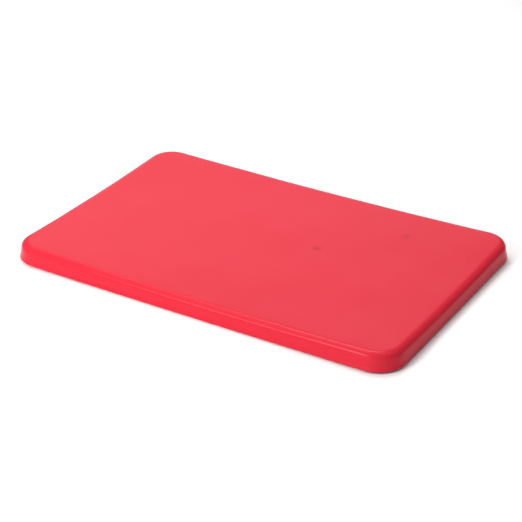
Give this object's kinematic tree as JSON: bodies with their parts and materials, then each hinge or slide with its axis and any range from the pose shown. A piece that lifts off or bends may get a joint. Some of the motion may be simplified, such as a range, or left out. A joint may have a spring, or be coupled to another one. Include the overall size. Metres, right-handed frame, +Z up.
{
  "type": "cutting board",
  "caption": "Rectangular hollow-moulded plastic cutting board with rounded corners, a rounded-over work face, a flared skirt, a closing base panel and rubber feet.",
  "frame": {"origin": "under the middle of the board, on the plane that the feet stand on", "axes": "+X along the length of the board, +Y across it from the cook's side to the far side, +Z up out of the work face"},
  "size_m": [0.46, 0.3, 0.0208],
  "materials": {
    "red_plastic": "satin moulded, soft sheen",
    "red_base_plastic": "fine moulded grain",
    "foot_rubber": "matt, soft"
  },
  "bodies": {
    "root": {"top_shell": "red_plastic", "base_panel": "red_base_plastic", "foot_front_left": "foot_rubber", "foot_front_middle": "foot_rubber", "foot_front_right": "foot_rubber", "foot_back_left": "foot_rubber", "foot_back_middle": "foot_rubber", "foot_back_right": "foot_rubber"}
  },
  "joints": []
}
